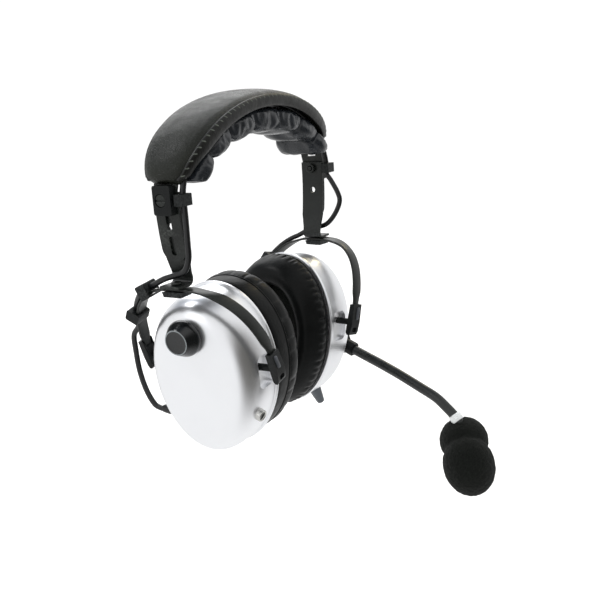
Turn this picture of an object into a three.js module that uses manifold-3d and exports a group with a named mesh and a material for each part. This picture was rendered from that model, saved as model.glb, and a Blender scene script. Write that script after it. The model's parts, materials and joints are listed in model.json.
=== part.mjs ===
// Aviation headset: a sprung headband with a padded cover, two sliding arms, two yokes and two cups.
// Millimetres, +Z up, +X towards the wearer's left, -Y the way the wearer looks.
// The origin is the middle of the cushion's flat underside, where the headset rests on a head.
import * as THREE from 'three';
import { mergeVertices } from 'three/addons/utils/BufferGeometryUtils.js';
import Module from 'manifold-3d';

const wasm = await Module();
wasm.setup();

// ---- driving dimensions ----
const GAP = 0.3;                 // clearance left between pieces that touch on the real object

const ARM_RADIUS = 155;          // the arms slide on an arc of this radius
const ARM_X = 73;                // arm's centreline where it stands upright
const ARC_CENTRE = { x: ARM_X - ARM_RADIUS, z: -28 };
const ARM_THICK = 1.4;
const ARM_WIDTH = 15;
const ARM_TOP_Z = -24.3;
const ARM_FOOT_Z = -68.7;

const BAND_THICK = 1.0;
const BAND_WIDTH = 15;
const BAND_X = ARM_X + ARM_THICK / 2 + GAP + BAND_THICK / 2;   // the tails lie outside the arms
const BAND_RISE = 45;            // crown of the band above the arc's centre
const BAND_TAIL_Z = -61.5;

const PAD_TOP = 22;              // top of the cover above the origin
const PAD_OUTER_X = { [-1]: 81.5, 1: 79.5 };     // the pad sits a little towards the wearer's right
const COVER_END_ANGLE = { [-1]: 79, 1: 71 };     // degrees from the crown, by side
const CUSHION_END_ANGLE = { [-1]: 79, 1: 74 };
const COVER_WIDTH = 36;          // at the crown
const COVER_END_WIDTH = 18;
const CUSHION_WIDTH = 32;
const CUSHION_HOLLOW = 3.9;      // room between cover and cushion, for the band and the lead
const CUSHION_INNER_X = { [-1]: 62, 1: 60 };
const CUSHION_LOBES = 7;

const SWIVEL_X = 73.5;           // upright axis of the yoke's swivel
const YOKE_TOP_Z = -74.15;
const YOKE_WIDTH = 8;
const YOKE_THICK = 1.3;
// The yoke's line: where it starts, how square its front and rear shoulders are, and how it leans outwards
const BOW = { foot: 47.3, z: -128.7, front: 0.7, rear: 0.85, lean: 1.25 };
const PIVOT = { y: 42.4, z: -121 };            // cup's tilt axis, and the yoke's half width
const CUP_X = 53.6;              // the cup's own frame starts here, level with the tilt axis

const CUP_HALF_WIDTH = 35;
const CUP_HALF_HEIGHT = 48.4;
const CUP_DEPTH = 31.5;
const CUP_DROP = 6;              // cup's middle below the tilt axis
const CUP_RIM_X = -17.3;         // cup's rim, inboard of its frame's origin
const CUP_TAPER = 0.07;          // share by which the cup narrows from its middle to its bottom
const CUP_TILT = 4.5;            // degrees, bottom inwards
const TOE_IN = { 1: 7, [-1]: 1.8 };   // degrees that each cup is swivelled inwards at the front, by side
const PLATE_THICK = 2;
const SEAL_THICK = 18;

const KNOB = { y: 0.5, z: 20.8, base: 10.2, face: 7, height: 8.5 };   // from the tilt axis
const JACK_RADIUS = 3.4;

const BOOM_HUB = { y: -12, z: -21.5, radius: 9 };    // from the tilt axis
const BOOM_X = 22;               // plane in which the boom lies, outboard of the tilt axis
const BOOM_RADIUS = 3.1;
const LEAD_RADIUS = 1.6;

// ---- materials ----
function finish(color, roughness, metalness) {
  return new THREE.MeshStandardMaterial({ color, roughness, metalness });
}
const silverPaint = finish(0xc9cbcc, 0.35, 0.6);
const blackSteel = finish(0x1d2020, 0.45, 0.5);
const blackPlastic = finish(0x17191b, 0.5, 0);
const leather = finish(0x2c2d28, 0.6, 0);
const vinyl = finish(0x3a3d45, 0.45, 0);
const sealVinyl = finish(0x121314, 0.35, 0);
const foam = finish(0x202022, 0.95, 0);
const rubber = finish(0x141516, 0.55, 0);
const steel = finish(0xb9bcc0, 0.3, 1);
const chrome = finish(0xdadcdf, 0.12, 1);
const clearSleeve = finish(0xd8dada, 0.3, 0);

// ---- solids ----
function toSolid(geometry) {
  const bare = geometry.clone();
  bare.deleteAttribute('normal');
  bare.deleteAttribute('uv');
  const merged = mergeVertices(bare, 1e-4);
  const vertProperties = new Float32Array(merged.attributes.position.array);
  const triVerts = new Uint32Array(merged.index.array);
  return new wasm.Manifold(new wasm.Mesh({ numProp: 3, vertProperties, triVerts }));
}

function toGeometry(solid) {
  const data = solid.getMesh();
  const geometry = new THREE.BufferGeometry();
  geometry.setAttribute('position', new THREE.BufferAttribute(new Float32Array(data.vertProperties), 3));
  geometry.setIndex(new THREE.BufferAttribute(new Uint32Array(data.triVerts), 1));
  return geometry;
}

const cut = (body, ...tools) => toGeometry(tools.reduce((s, t) => s.subtract(toSolid(t)), toSolid(body)));
const join = (...bodies) => toGeometry(bodies.map(toSolid).reduce((a, b) => a.add(b)));
const common = (a, b) => toGeometry(toSolid(a).intersect(toSolid(b)));

function flipWinding(geometry) {
  const index = geometry.index.array;
  for (let i = 0; i < index.length; i += 3) {
    [index[i], index[i + 1]] = [index[i + 1], index[i]];
  }
  return geometry;
}

function signedVolume(geometry) {
  const p = geometry.attributes.position;
  const index = geometry.index.array;
  const [a, b, c] = [new THREE.Vector3(), new THREE.Vector3(), new THREE.Vector3()];
  let sum = 0;
  for (let i = 0; i < index.length; i += 3) {
    a.fromBufferAttribute(p, index[i]);
    b.fromBufferAttribute(p, index[i + 1]);
    c.fromBufferAttribute(p, index[i + 2]);
    sum += a.dot(b.cross(c));
  }
  return sum / 6;
}

// one closed skin with shared vertices, its faces pointing out
function closed(geometry) {
  const bare = geometry.clone();
  bare.deleteAttribute('normal');
  bare.deleteAttribute('uv');
  const merged = mergeVertices(bare, 1e-4);
  return signedVolume(merged) < 0 ? flipWinding(merged) : merged;
}

const mirrored = (geometry) => flipWinding(geometry.clone().scale(-1, 1, 1));
const onSide = (geometry, side) => (side > 0 ? geometry : mirrored(geometry));

// ---- shapes ----
const AXES = {
  // columns: where the drawing's right, its up and the extrusion's direction point
  x: new THREE.Matrix4().makeBasis(
    new THREE.Vector3(0, 1, 0), new THREE.Vector3(0, 0, 1), new THREE.Vector3(1, 0, 0)),
  y: new THREE.Matrix4().makeBasis(
    new THREE.Vector3(1, 0, 0), new THREE.Vector3(0, 0, 1), new THREE.Vector3(0, -1, 0)),
  z: new THREE.Matrix4(),
};

// a drawing extruded along an axis from one coordinate to another, centred where only a width is given
function extrude(shape, axis, from, to, curveSegments = 8) {
  const geometry = new THREE.ExtrudeGeometry(shape, { depth: to - from, bevelEnabled: false, curveSegments });
  geometry.translate(0, 0, axis === 'y' ? -to : from);
  return closed(geometry.applyMatrix4(AXES[axis]));
}

const extrudeWidth = (shape, axis, width, curveSegments) => extrude(shape, axis, -width / 2, width / 2, curveSegments);

function polygon(points) {
  return new THREE.Shape(points.map(([a, b]) => new THREE.Vector2(a, b)));
}

function circle(a, b, radius) {
  const path = new THREE.Shape();
  path.absarc(a, b, radius, 0, 2 * Math.PI);
  return path;
}

function roundedBox(a0, b0, a1, b1, radius) {
  const s = new THREE.Shape();
  s.moveTo(a0 + radius, b0);
  s.lineTo(a1 - radius, b0);
  s.absarc(a1 - radius, b0 + radius, radius, -Math.PI / 2, 0);
  s.lineTo(a1, b1 - radius);
  s.absarc(a1 - radius, b1 - radius, radius, 0, Math.PI / 2);
  s.lineTo(a0 + radius, b1);
  s.absarc(a0 + radius, b1 - radius, radius, Math.PI / 2, Math.PI);
  s.lineTo(a0, b0 + radius);
  s.absarc(a0 + radius, b0 + radius, radius, Math.PI, 1.5 * Math.PI);
  return s;
}

// a strip of given thickness along a flat centreline
function strip(line, thickness) {
  const normals = line.map((p, i) => {
    const [a, b] = [line[Math.max(i - 1, 0)], line[Math.min(i + 1, line.length - 1)]];
    const length = Math.hypot(b[0] - a[0], b[1] - a[1]);
    return [(b[1] - a[1]) / length, (a[0] - b[0]) / length];
  });
  const offset = (d) => line.map((p, i) => [p[0] + normals[i][0] * d, p[1] + normals[i][1] * d]);
  return polygon([...offset(thickness / 2), ...offset(-thickness / 2).reverse()]);
}

function box(low, high) {
  const geometry = new THREE.BoxGeometry(high[0] - low[0], high[1] - low[1], high[2] - low[2]);
  geometry.translate((low[0] + high[0]) / 2, (low[1] + high[1]) / 2, (low[2] + high[2]) / 2);
  return closed(geometry);
}

// a profile of [distance along the axis, radius] turned round the X axis
function turned(profile, segments = 24) {
  const geometry = new THREE.LatheGeometry(profile.map(([h, r]) => new THREE.Vector2(r, h)), segments);
  return closed(geometry.rotateZ(-Math.PI / 2));
}

function turnedAt(profile, position, segments) {
  return turned(profile, segments).translate(...position);
}

const alongY = (geometry) => geometry.rotateZ(Math.PI / 2);
const alongZ = (geometry) => geometry.rotateY(-Math.PI / 2);
const rod = (from, to, radius) => [[from, 0], [from, radius], [to, radius], [to, 0]];

// a round section carried along a smooth curve through the points
function tube(points, radius, steps, sides = 8) {
  const curve = new THREE.CatmullRomCurve3(points.map((p) => new THREE.Vector3(...p)));
  const section = new THREE.Shape();
  for (let i = 0; i < sides; i += 1) {
    const angle = (2 * Math.PI * i) / sides;
    const place = [radius * Math.cos(angle), radius * Math.sin(angle)];
    if (i === 0) section.moveTo(...place);
    else section.lineTo(...place);
  }
  section.closePath();
  return closed(new THREE.ExtrudeGeometry(section, { steps, extrudePath: curve, bevelEnabled: false }));
}

const radians = THREE.MathUtils.degToRad;
const range = (count) => Array.from({ length: count + 1 }, (_, i) => i / count);

// ---- assembly ----
const headset = new THREE.Group();

function add(name, geometry, material, parent = headset) {
  const mesh = new THREE.Mesh(geometry, material);
  mesh.name = name;
  parent.add(mesh);
}

// ---- headband and pad ----
// a point on an ellipse round the arc's centre, by its angle from the crown
const onEllipse = (degrees, halfWidth, rise) => [
  halfWidth * Math.sin(radians(degrees)),
  ARC_CENTRE.z + rise * Math.cos(radians(degrees)),
];
// a point on the arms' arc, at a height, moved outwards from the arm's centreline
function onArc(z, outwards = 0) {
  const radius = ARM_RADIUS + outwards;
  return [ARC_CENTRE.x + Math.sqrt(radius ** 2 - (z - ARC_CENTRE.z) ** 2), z];
}
const between = (a, b, count) => range(count).map((t) => a + (b - a) * t);

const SLOT = { width: 3.2, top: -25, bottom: -44 };      // the clamp screw slides in this one
const TAIL_SLOT = { width: 3.2, top: -47, bottom: -57 };
const LEG_WINDOW = { width: 6, top: -12.5, bottom: -20.5 };

function headbandBand() {
  const tail = between(BAND_TAIL_Z, ARM_TOP_Z + 0.5, 5).map((z) => onArc(z, BAND_X - ARM_X));
  const bow = between(78, 0, 12).map((a) => onEllipse(a, BAND_X, BAND_RISE));
  const half = [...tail, ...bow];
  const line = [...half, ...half.slice(0, -1).reverse().map(([x, z]) => [-x, z])];
  const edgeView = extrudeWidth(strip(line, BAND_THICK), 'y', BAND_WIDTH);
  const w = BAND_WIDTH / 2;
  const face = roundedBox(-w, BAND_TAIL_Z + 1, w, PAD_TOP, 0.9 * w);
  for (const { width, top, bottom } of [SLOT, TAIL_SLOT]) {
    face.holes.push(roundedBox(-width / 2, bottom, width / 2, top, 0.49 * width));
  }
  face.holes.push(roundedBox(-LEG_WINDOW.width / 2, LEG_WINDOW.bottom, LEG_WINDOW.width / 2, LEG_WINDOW.top, 1));
  return common(edgeView, extrudeWidth(face, 'x', 4 * BAND_X, 3));
}

function arch(outer, inner, width) {
  return extrudeWidth(polygon([...outer, ...inner.slice().reverse()]), 'y', width);
}

const sideOf = (degrees) => (degrees < 0 ? -1 : 1);

function padCover() {
  const rise = PAD_TOP - ARC_CENTRE.z;
  const clear = BAND_THICK / 2 + GAP;
  const angles = between(-COVER_END_ANGLE[-1], 0, 11).concat(between(0, COVER_END_ANGLE[1], 10).slice(1));
  const outer = angles.map((a) => onEllipse(a, PAD_OUTER_X[sideOf(a)], rise));
  const inner = angles.map((a) => onEllipse(a, BAND_X + clear, BAND_RISE + clear));
  // seen from above, the cover narrows from the crown to its ends
  const edge = angles.map((a, i) => {
    const share = (a / COVER_END_ANGLE[sideOf(a)]) ** 2;
    return [outer[i][0], (COVER_WIDTH + (COVER_END_WIDTH - COVER_WIDTH) * share) / 2];
  });
  const end = PAD_OUTER_X[-1] + 1;
  const plan = polygon([[-end, edge[0][1]], ...edge.slice(1).map(([x, y]) => [x, y]), [end, edge.at(-1)[1]],
    [end, -edge.at(-1)[1]], ...edge.slice(1).reverse().map(([x, y]) => [x, -y]), [-end, -edge[0][1]]]);
  return common(arch(outer, inner, COVER_WIDTH), extrude(plan, 'z', ARC_CENTRE.z, 2 * PAD_TOP));
}

function padCushion() {
  const clear = BAND_THICK / 2 + GAP - CUSHION_HOLLOW;
  const outer = between(-CUSHION_END_ANGLE[-1], CUSHION_END_ANGLE[1], 20)
    .map((a) => onEllipse(a, BAND_X + clear, BAND_RISE + clear));
  const half = 156 / CUSHION_LOBES / 2;
  const rise = -ARC_CENTRE.z / Math.cos(radians(half));   // puts the middle lobe's flat underside at z = 0
  const perSide = (CUSHION_LOBES - 1) / 2;
  const channels = [
    ...between(1 - CUSHION_END_ANGLE[-1], -half, perSide),
    ...between(half, CUSHION_END_ANGLE[1] - 1, perSide),
  ];
  const inner = channels.map((a) => onEllipse(a, CUSHION_INNER_X[sideOf(a)], rise));
  return arch(outer, inner, CUSHION_WIDTH);
}

// ---- arms ----
function armStrap() {
  const arc = between(ARM_TOP_Z, ARM_FOOT_Z, 6).map((z) => onArc(z));
  const [footX, footZ] = onArc(ARM_FOOT_Z);
  const lean = Math.asin((ARC_CENTRE.z - footZ) / ARM_RADIUS);
  const bend = 3;
  const centre = [footX + bend * Math.cos(lean), footZ - bend * Math.sin(lean)];
  const turn = between(Math.PI - lean, 1.5 * Math.PI, 4).slice(1)
    .map((a) => [centre[0] + bend * Math.cos(a), centre[1] + bend * Math.sin(a)]);
  const tab = [[SWIVEL_X + 6, centre[1] - bend]];
  const edgeView = extrudeWidth(strip([...arc, ...turn, ...tab], ARM_THICK), 'y', ARM_WIDTH);
  const w = ARM_WIDTH / 2;
  const face = polygon([
    [-w, ARM_TOP_Z + 1], [-w, -58], [-6.2, -66], [-6.2, -80], [6.2, -80], [6.2, -66], [w, -58], [w, ARM_TOP_Z + 1],
  ]);
  face.holes.push(circle(0, ARC_CENTRE.z, 1.3 + GAP), circle(0, -42, 1.9));
  const flat = common(edgeView, extrudeWidth(face, 'x', 4 * BAND_X, 4));
  return cut(flat, alongZ(turned(rod(-90, -71, 2 + GAP), 16)).translate(SWIVEL_X, 0, 0));
}
const TAB_Z = (() => {
  const lean = Math.asin((ARC_CENTRE.z - ARM_FOOT_Z) / ARM_RADIUS);
  return ARM_FOOT_Z - 3 * Math.sin(lean) - 3;
})();

const BLOCK = { front: -6.6, rear: 4.6, height: 15, back: 75.5, face: 79.5, recess: 2 };

function adjusterBlock() {
  const z = ARC_CENTRE.z;
  const outline = roundedBox(BLOCK.front, z - BLOCK.height / 2, BLOCK.rear, z + BLOCK.height / 2, 1.2);
  const body = extrude(outline, 'x', BLOCK.back, BLOCK.face, 3);
  const hole = turnedAt([[70, 0], [70, 1.6], [BLOCK.face - BLOCK.recess, 1.6], [BLOCK.face - BLOCK.recess, 3.4],
    [BLOCK.face + 1, 3.4], [BLOCK.face + 1, 0]], [0, 0, z], 16);
  return cut(body, hole);
}

function clampScrew() {
  const head = BLOCK.face - BLOCK.recess + GAP;
  const slot = box([head + 0.8, -4, -0.4], [head + 3, 4, 0.4]);
  const body = turned([[69.3, 0], [69.3, 1.3], [head, 1.3], [head, 3.1], [head + 1.4, 3.1], [head + 1.4, 0]], 16);
  return cut(body, slot).translate(0, 0, ARC_CENTRE.z);
}

function clampNut() {
  const face = ARM_X - ARM_THICK / 2 - GAP;
  const nut = turned(rod(face - 2.2, face, 3.1), 6);
  return cut(nut, turned(rod(face - 3, face + 1, 1.3 + GAP), 12)).translate(0, 0, ARC_CENTRE.z);
}

// ---- frames: the yoke is swivelled on its upright axis, and the cup leans on its tilt axis ----
const SIDES = { 1: 'left', [-1]: 'right' };
const yokeFrame = {};
const cupFrame = {};
for (const side of [1, -1]) {
  const swivel = new THREE.Matrix4().makeRotationZ(-radians(TOE_IN[side]));
  const outward = new THREE.Matrix4().makeTranslation(SWIVEL_X, 0, 0);
  const inward = new THREE.Matrix4().makeTranslation(-SWIVEL_X, 0, 0);
  yokeFrame[side] = outward.multiply(swivel).multiply(inward);
  cupFrame[side] = yokeFrame[side].clone()
    .multiply(new THREE.Matrix4().makeTranslation(CUP_X, 0, PIVOT.z))
    .multiply(new THREE.Matrix4().makeRotationY(radians(CUP_TILT)));
}
const inFrame = (point, frame) => new THREE.Vector3(...point).applyMatrix4(frame).toArray();

// ---- crossover lead above the yokes; every route is drawn on the wearer's left ----
const LEAD_Y = -10.2;
const LEAD_CLIP_Z = -28;
const LEAD_X = ARM_X + 0.5;

function leadPadRun() {
  const mid = (BAND_X + BAND_THICK / 2 + GAP) - CUSHION_HOLLOW / 2;
  const rise = mid - BAND_X + BAND_RISE;
  const inPad = between(-76, 76, 14).map((a) => onEllipse(a, mid, rise)).map(([x, z]) => [x, LEAD_Y, z]);
  const drop = (side, z) => [side * LEAD_X, LEAD_Y, z];
  const above = LEAD_CLIP_Z + 4;
  const route = [drop(-1, LEAD_CLIP_Z), drop(-1, above), ...inPad, drop(1, above), drop(1, LEAD_CLIP_Z)];
  return tube(route, LEAD_RADIUS, 36, 6);
}

function armLeadClip() {
  const body = box([LEAD_X - 3.2, -13.2, LEAD_CLIP_Z - 3], [LEAD_X + 5, -ARM_WIDTH / 2 - GAP, LEAD_CLIP_Z + 3]);
  const hole = alongZ(turned(rod(LEAD_CLIP_Z - 9, LEAD_CLIP_Z + 9, LEAD_RADIUS + GAP), 12));
  return cut(body, hole.translate(LEAD_X, LEAD_Y, 0));
}

// the lead slackens into a loop on the left, and follows the arm on the right
const ARM_LEAD_MIDDLE = {
  1: [[LEAD_X, -13, -36], [LEAD_X, -17.5, -44], [LEAD_X, -18.5, -50], [LEAD_X, -14.5, -58], [73.8, -8, -64.5]],
  [-1]: [[LEAD_X, LEAD_Y, -40], [LEAD_X, -10, -50], [73.5, -9.6, -58], [73.8, -6.5, -64.5]],
};
const ARM_LEAD_END = [[74, 0.5, -67.2], [74, 7.5, -69.4]];

function armLead(side) {
  const inClip = [LEAD_CLIP_Z - GAP, LEAD_CLIP_Z - 4].map((z) => [LEAD_X, LEAD_Y, z]);
  const end = [...ARM_LEAD_END, onYokeLead(LEAD_SWIVEL_ANGLE - 1)].map((p) => inFrame(p, yokeFrame[side]));
  return tube([...inClip, ...ARM_LEAD_MIDDLE[side], ...end], LEAD_RADIUS, 18);
}

// ---- yokes ----
const yokeRise = YOKE_TOP_Z - BOW.z;
const YOKE_END_ANGLE = 82.4;     // degrees from the top to the strap's end
// a point of the bow seen from its side: an ellipse with full shoulders
function onYoke(degrees, outwards = 0) {
  const [sine, cosine] = [Math.sin(radians(degrees)), Math.cos(radians(degrees))];
  const power = sine < 0 ? BOW.front : BOW.rear;
  return [
    (PIVOT.y + outwards) * Math.sign(sine) * Math.abs(sine) ** power,
    BOW.z + (yokeRise + outwards) * cosine ** power,
  ];
}
const heightShare = (z) => THREE.MathUtils.clamp((z - BOW.z) / yokeRise, 0, 1);
const yokeX = (z) => BOW.foot + (SWIVEL_X - BOW.foot) * heightShare(z) ** BOW.lean;

// The bow is drawn flat, and then leans so that its feet stand inboard of its top. Its top stays level
// under the arm's foot, and past that its outer edge turns down.
const EDGE_TURN = { by: radians(12), from: 12, to: 32 };    // degrees from the top
const TONGUE = { from: 70, to: 76, share: 0.66 };           // the strap's ends narrow to go into the pivots

const smooth = (value, low, high) => THREE.MathUtils.smoothstep(value, low, high);
const edgeTurn = (degrees) => EDGE_TURN.by * smooth(degrees, EDGE_TURN.from, EDGE_TURN.to);

function leaned(geometry, narrows = true) {
  const p = geometry.attributes.position;
  for (let i = 0; i < p.count; i += 1) {
    const [y, z] = [p.getY(i), p.getZ(i)];
    const power = y < 0 ? BOW.front : BOW.rear;
    const [a, b] = [Math.abs(y) / PIVOT.y, heightShare(z)].map((share) => share ** (1 / power));
    const degrees = THREE.MathUtils.radToDeg(Math.atan2(a, b));
    const narrowed = narrows ? 1 - (1 - TONGUE.share) * smooth(degrees, TONGUE.from, TONGUE.to) : 1;
    const across = p.getX(i) * narrowed;
    p.setX(i, across * Math.cos(edgeTurn(degrees)) + yokeX(z));
    p.setZ(i, z - across * Math.sin(edgeTurn(degrees)));
  }
  return geometry;
}

function yokeBow(thickness, width, endAngle, steps = 26) {
  const line = between(-endAngle, endAngle, steps).map((a) => onYoke(a));
  return leaned(extrudeWidth(strip(line, thickness), 'x', width));
}

const swivelBore = () => alongZ(turned(rod(-90, -70, 2 + GAP), 12)).translate(SWIVEL_X, 0, 0);
const yokeStrap = () => cut(yokeBow(YOKE_THICK, YOKE_WIDTH, YOKE_END_ANGLE), swivelBore());

// each pivot is a slim clip on the strap's end, whose pin goes into a pocket in the cup's side
const CLIP = { top: 10.5, bottom: -7.5, halfWidth: 4.2, inner: PIVOT.y - 2.1, outer: PIVOT.y + 2.1 };
const CLIP_WINDOW = { half: 2, top: -3, bottom: -5.8 };
const PIN = { radius: 2, end: 29.1, hole: 28.5 };
const POCKET = { inboard: -13, outboard: 0.4, bottom: -12.5, top: 6, corner: 4, floor: 30.5 };

// end = -1 in front, 1 behind
function pivotClip(end) {
  const { top, bottom, inner, outer, halfWidth } = CLIP;
  const outline = polygon([[inner, bottom + 1.5], [inner + 1, bottom], [outer - 1.6, bottom],
    [outer - 0.6, bottom + 2], [outer, 0], [outer - 0.8, top], [inner + 0.2, top]]);
  const w = CLIP_WINDOW;
  const window = extrude(roundedBox(-w.half, w.bottom, w.half, w.top, 0.8), 'y', inner - 1, outer + 1, 3);
  const block = cut(extrudeWidth(outline, 'x', 2 * halfWidth), window).translate(0, 0, PIVOT.z);
  const pin = alongY(turned(rod(PIN.end, inner + 1, PIN.radius), 12)).translate(yokeX(PIVOT.z), 0, PIVOT.z);
  const piece = join(leaned(block, false), pin);
  if (end < 0) flipWinding(piece.scale(1, -1, 1));
  return cut(piece, yokeBow(YOKE_THICK + 3 * GAP, YOKE_WIDTH + 4 * GAP, YOKE_END_ANGLE + 0.5));
}

function swivelRivet() {
  const top = TAB_Z + ARM_THICK / 2 + GAP;
  const profile = [[-78.6, 0], [-78.6, 2], [top, 2], [top, 3], [top + 1, 2.5], [top + 1.4, 0]];
  return alongZ(turned(profile, 12)).translate(SWIVEL_X, 0, 0);
}

function swivelRetainer() {
  const top = YOKE_TOP_Z - YOKE_THICK / 2 - GAP;
  const outline = polygon([[-5.5, top - 2.8], [5.5, top - 2.8], [6.5, top], [-6.5, top]]);
  const body = extrude(outline, 'x', SWIVEL_X - 4.5, SWIVEL_X + 4.5);
  return cut(body, swivelBore(), yokeBow(YOKE_THICK + 2 * GAP, YOKE_WIDTH + 2, 30));
}

const LEAD_LIFT = YOKE_THICK / 2 + GAP + LEAD_RADIUS + 0.4;
const LEAD_SWIVEL_ANGLE = 17.5;                 // where the lead reaches the yoke
const LEAD_LAST_CLIP = { 1: 48, [-1]: 54 };     // the last clip's place on the yoke, by side

function onYokeLead(degrees) {
  const [y, z] = onYoke(degrees, LEAD_LIFT);
  return [yokeX(z), y, z];
}

// a clip round the yoke's rear limb and the lead
function yokeLeadClip(degrees) {
  const [y, z] = onYoke(degrees, 1.2);
  const [x] = onYokeLead(degrees);
  const [before, after] = [onYoke(degrees - 1), onYoke(degrees + 1)];
  const slope = Math.atan2(before[1] - after[1], after[0] - before[0]);
  const body = extrude(roundedBox(-3.2, -3.4, 3.2, 4.8, 1), 'x', -5.2, 5.2, 2);
  body.rotateX(-slope).rotateY(edgeTurn(degrees)).translate(x, y, z);
  const channel = tube(between(degrees - 12, degrees + 12, 4).map(onYokeLead), LEAD_RADIUS + GAP, 8);
  return cut(body, yokeBow(YOKE_THICK + 2 * GAP, YOKE_WIDTH + 2 * GAP, YOKE_END_ANGLE), channel);
}

const yokeLead = (side) => tube(between(LEAD_SWIVEL_ANGLE, LEAD_LAST_CLIP[side], 6).map(onYokeLead), LEAD_RADIUS, 8);

// from the yoke's last clip round the back of the rear pivot to the cup's gland
function cupLead(side) {
  const onLimb = between(LEAD_LAST_CLIP[side] + 1.2, 66, 2).map(onYokeLead);
  const free = [[56.5, 47.4, -108], [54.5, 49.2, -118], [54, 48.6, -130], [54.5, 45, -141], [55.1, 39.6, -149],
    [55.2, 35, -151.1], [55.2, LEAD_GLAND.y + LEAD_GLAND.length + GAP, -151.2]];
  return tube([...onLimb, ...free], LEAD_RADIUS, 20);
}

// ---- cups, in a frame whose origin is the middle of the tilt axis and whose X points outboard ----
function egg(geometry) {
  const p = geometry.attributes.position;
  for (let i = 0; i < p.count; i += 1) {
    const z = p.getZ(i);
    p.setY(i, p.getY(i) * CUP_HALF_WIDTH * (1 + CUP_TAPER * z));
    p.setZ(i, z * CUP_HALF_HEIGHT - CUP_DROP);
  }
  return geometry;
}
const oval = (profile, segments = 32) => egg(turned(profile, segments));

// [depth from the rim, share of the rim's size]
const CUP_OUTER = [[0, 1], [1.8, 1], [2.4, 0.97], [12, 0.965], [18, 0.95], [23, 0.91], [26.5, 0.85], [29, 0.765],
  [30.4, 0.66], [31, 0.5], [31.4, 0.25], [CUP_DEPTH, 0]];
const CUP_INNER = [[0, 0.915], [12, 0.905], [18, 0.885], [22.5, 0.84], [25.5, 0.77], [27.5, 0.67], [28.8, 0.5],
  [29.3, 0]];
const WALL = CUP_DEPTH - 29.3;
const faceX = CUP_RIM_X + CUP_DEPTH;

// where the tilt axis lies in the cup's frame
const TILT_AXIS = new THREE.Vector3(yokeX(PIVOT.z) - CUP_X, 0, 0)
  .applyAxisAngle(new THREE.Vector3(0, 1, 0), -radians(CUP_TILT));

const bothEnds = (geometry) => [geometry, flipWinding(geometry.clone().scale(1, -1, 1))];

function cupShell(side) {
  const profile = [...CUP_OUTER, ...CUP_INNER.slice().reverse(), CUP_OUTER[0]].map(([d, r]) => [d + CUP_RIM_X, r]);
  const { inboard, outboard, bottom, top, corner, floor } = POCKET;
  const wall = 2;
  const backing = bothEnds(box([inboard - wall, floor - 2.5, bottom - wall], [outboard + wall, 32.4, top + wall]));
  const pockets = bothEnds(extrude(roundedBox(inboard, bottom, outboard, top, corner), 'y', floor, 40, 4));
  const hole = alongY(turned(rod(PIN.hole, 40, PIN.radius + GAP), 12)).translate(...TILT_AXIS);
  const holes = side < 0 ? [knobBore(), jackBore()] : [hubBore(), mainBore()];
  return cut(join(oval(profile), ...backing), ...pockets, ...bothEnds(hole), ...holes, leadBore());
}

const knobBore = () => turnedAt(rod(faceX - 12, faceX + 5, 3.4), [0, KNOB.y, KNOB.z], 12);

// the frame of a round piece that leaves the shell at a point, along a direction
function frameAlong(point, direction) {
  const aim = new THREE.Vector3(...direction).normalize();
  const turn = new THREE.Quaternion().setFromUnitVectors(new THREE.Vector3(1, 0, 0), aim);
  return new THREE.Matrix4().compose(new THREE.Vector3(...point), turn, new THREE.Vector3(1, 1, 1));
}

// the jack stands square to the cup's side, low in front
const jackFrame = frameAlong([-1, -29, -27.3], [0.1, -0.93, -0.35]);
const jackBore = () => turned(rod(-9, 6, JACK_RADIUS + GAP), 16).applyMatrix4(jackFrame);

function jackBush() {
  const bore = turned(rod(-5, 9, 1.8), 12);
  const lip = [[-7, 0], [-7, 5], [-4.8, 5], [-4.8, JACK_RADIUS], [2.2, JACK_RADIUS],
    [2.8, JACK_RADIUS - 0.6], [2.8, 0]];
  return cut(turned(lip, 16), bore).applyMatrix4(jackFrame);
}

const LEAD_GLAND = { y: 26.6, length: 6, radius: 2.9, tip: 2.2 };
const MAIN_GLAND = { length: 13, radius: 4, tip: 2.6 };
const leadGlandFrame = frameAlong([4, LEAD_GLAND.y, -29.7], [0, 1, -0.02]);
const mainGlandFrame = frameAlong([3.2, -6, -50.2], [0.53, 0, -0.85]);
const leadBore = () => turned(rod(-8, 6, LEAD_GLAND.radius + GAP), 12).applyMatrix4(leadGlandFrame);
const mainBore = () => turned(rod(-8, 6, MAIN_GLAND.radius + GAP), 12).applyMatrix4(mainGlandFrame);

function gland({ radius, tip, length }, frame) {
  const profile = [[-4, 0], [-4, radius], [2, radius], [length, tip], [length, 0]];
  return turned(profile, 12).applyMatrix4(frame);
}

function sealPlate() {
  const back = CUP_RIM_X - PLATE_THICK;
  const front = CUP_RIM_X - GAP;
  return oval([[back, 0.4], [back, 0.95], [front, 0.95], [front, 0.4], [back, 0.4]]);
}

const sealBack = CUP_RIM_X - PLATE_THICK - GAP;

function earSeal() {
  const profile = [[0, 0.6], [0, 0.97], [-2, 1.0], [-5, 1.02], [-9, 1.03], [-13, 1.0], [-16.5, 0.9],
    [-SEAL_THICK, 0.79], [-17, 0.68], [-12.5, 0.6], [0, 0.6]];
  return oval(profile.map(([d, r]) => [d + sealBack, r]));
}

const earFoam = () => oval([[sealBack - 3, 0], [sealBack - 3, 0.575], [sealBack, 0.575], [sealBack, 0]], 24);

function speaker() {
  const start = CUP_RIM_X - PLATE_THICK;
  const r = 0.36 * CUP_HALF_WIDTH;
  const profile = [[start, 0], [start, r], [start + 5, r], [start + 7, 9], [start + 12, 9], [start + 12, 0]];
  return turnedAt(profile, [0, 0, -CUP_DROP], 20);
}

function dampingFoam() {
  const [from, to] = [CUP_RIM_X + 11.5, CUP_RIM_X + 18.5];
  return oval([[from, 0], [from, 0.6], [to, 0.55], [to, 0]], 20);
}

const potFace = faceX - WALL - 2.6;

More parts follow.
